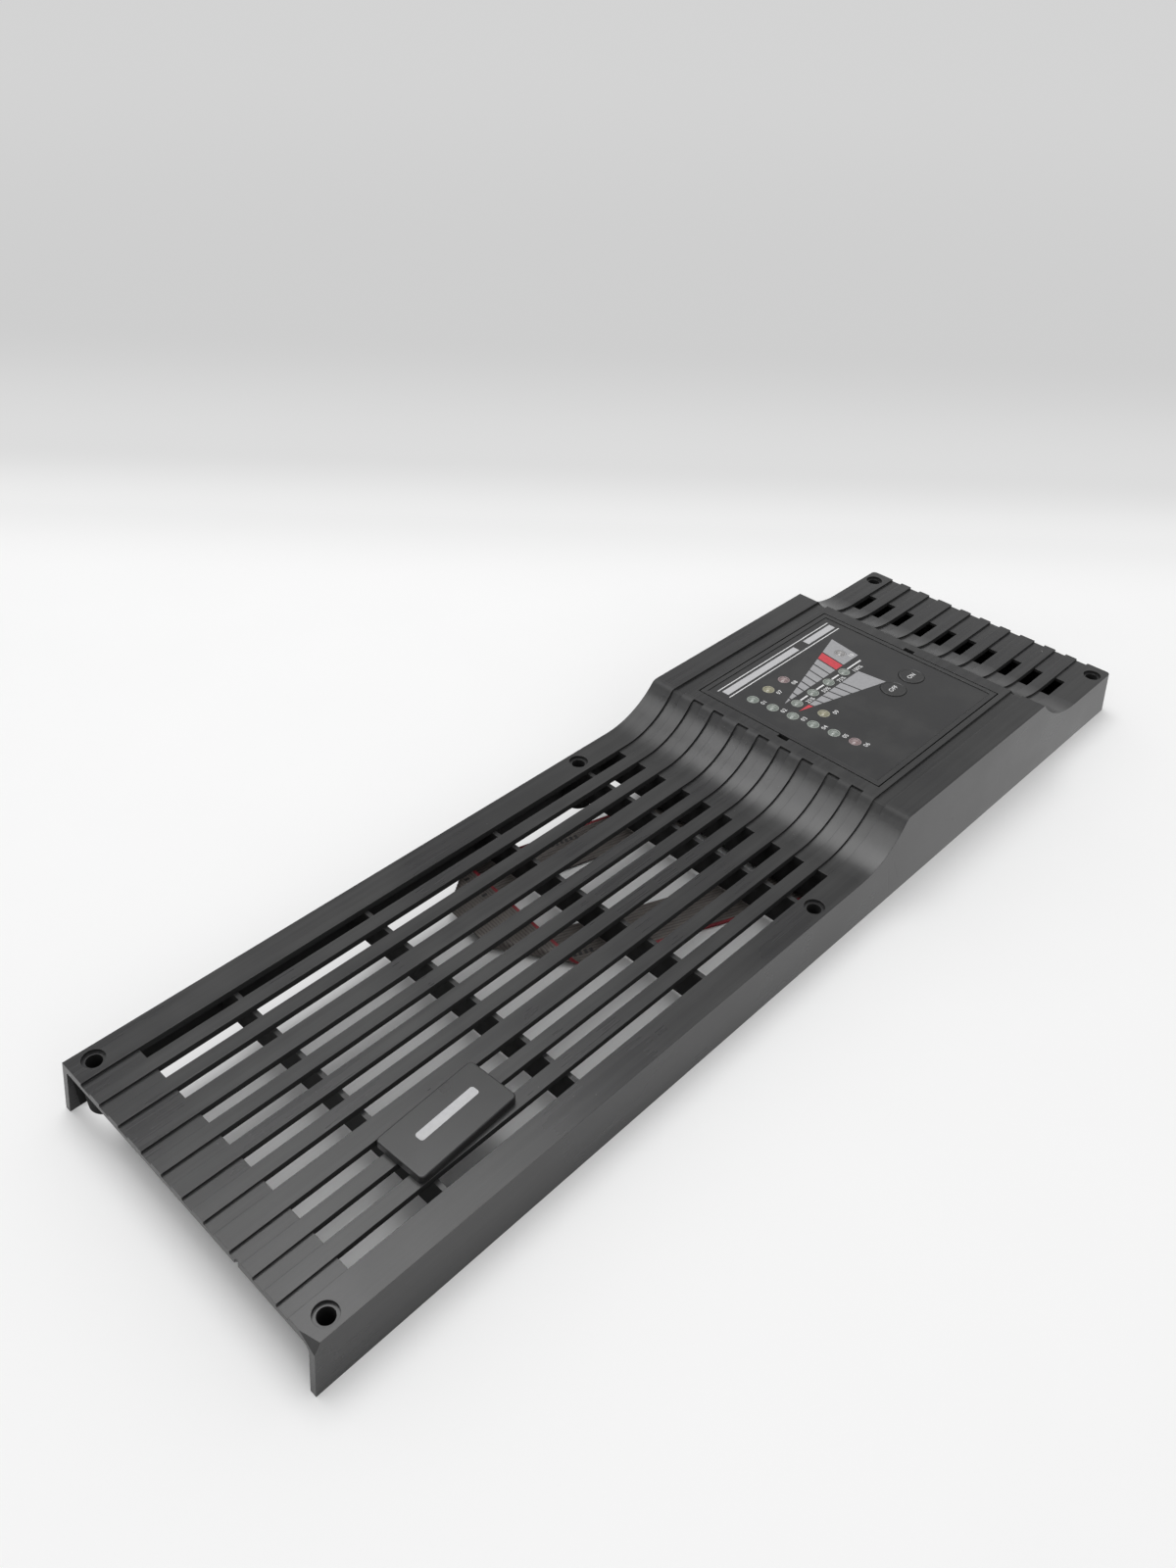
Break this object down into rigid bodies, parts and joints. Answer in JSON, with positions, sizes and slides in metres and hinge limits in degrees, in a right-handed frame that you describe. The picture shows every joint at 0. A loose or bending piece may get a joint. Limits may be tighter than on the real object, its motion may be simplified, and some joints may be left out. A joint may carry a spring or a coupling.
{
  "type": "rack power supply front bezel",
  "caption": "Black slotted front bezel for a rack power supply, with a ramp up to a snap-in lamp and button panel, a turning badge and a folded ribbon lead.",
  "frame": {"origin": "middle of the back edge, on the plane of the walls and screw posts", "axes": "+X along the face towards the display and far vents, +Y to the display's upper side, +Z out of the face"},
  "size_m": [0.452, 0.1314, 0.0353],
  "materials": {
    "frame_black": "fine moulded texture, satin, lightly scuffed",
    "badge_black": "fine moulded texture, bare",
    "panel_black": "fine moulded texture",
    "film_black": "printed polyester film, satin",
    "button_black": "satin, printed word",
    "lamp_green": "diffused lens, unlit",
    "lamp_yellow": "diffused lens, unlit",
    "lamp_red": "diffused lens, unlit",
    "lamp_grey": "diffused lens, unlit",
    "board_green": "solder mask",
    "screw_steel": "zinc plated",
    "connector_grey": "moulded",
    "resistor_yellow": "dipped coating",
    "switch_black": "moulded",
    "plunger_brown": "moulded",
    "ribbon_grey": "ribbed sleeve, one red edge",
    "socket_black": "moulded"
  },
  "bodies": {
    "bezel": {"bezel_frame": "frame_black", "board_header": "connector_grey", "board_screws": "screw_steel", "display_panel": "panel_black", "lamp_01": "lamp_green", "lamp_02": "lamp_green", "lamp_03": "lamp_green", "lamp_04": "lamp_green", "lamp_05": "lamp_green", "lamp_06": "lamp_red", "lamp_07": "lamp_yellow", "lamp_08": "lamp_red", "lamp_09": "lamp_green", "lamp_10": "lamp_green", "lamp_11": "lamp_green", "lamp_12": "lamp_green", "lamp_13": "lamp_yellow", "lamp_14": "lamp_grey", "lamp_board": "board_green", "off_switch": "switch_black", "on_switch": "switch_black", "overlay_film": "film_black", "resistor_packs": "resistor_yellow", "ribbon_cable": "ribbon_grey", "ribbon_plug": "connector_grey", "ribbon_socket": "socket_black"},
    "badge": {"badge": "badge_black"},
    "on_button": {"on_button": "button_black", "on_plunger": "plunger_brown"},
    "off_button": {"off_button": "button_black", "off_plunger": "plunger_brown"}
  },
  "joints": [
    {"name": "badge_swivel", "type": "hinge", "parent": "bezel", "child": "badge", "pos_m": [-0.1534, -0.0366, 0.0205], "axis": [0, 0, 1], "range_deg": [-3, 87]},
    {"name": "on_press", "type": "slide", "parent": "bezel", "child": "on_button", "axis": [0, 0, -1], "range_m": [0, 0.0005], "stiffness_N_per_m": 3000},
    {"name": "off_press", "type": "slide", "parent": "bezel", "child": "off_button", "axis": [0, 0, -1], "range_m": [0, 0.0005], "stiffness_N_per_m": 3000}
  ]
}
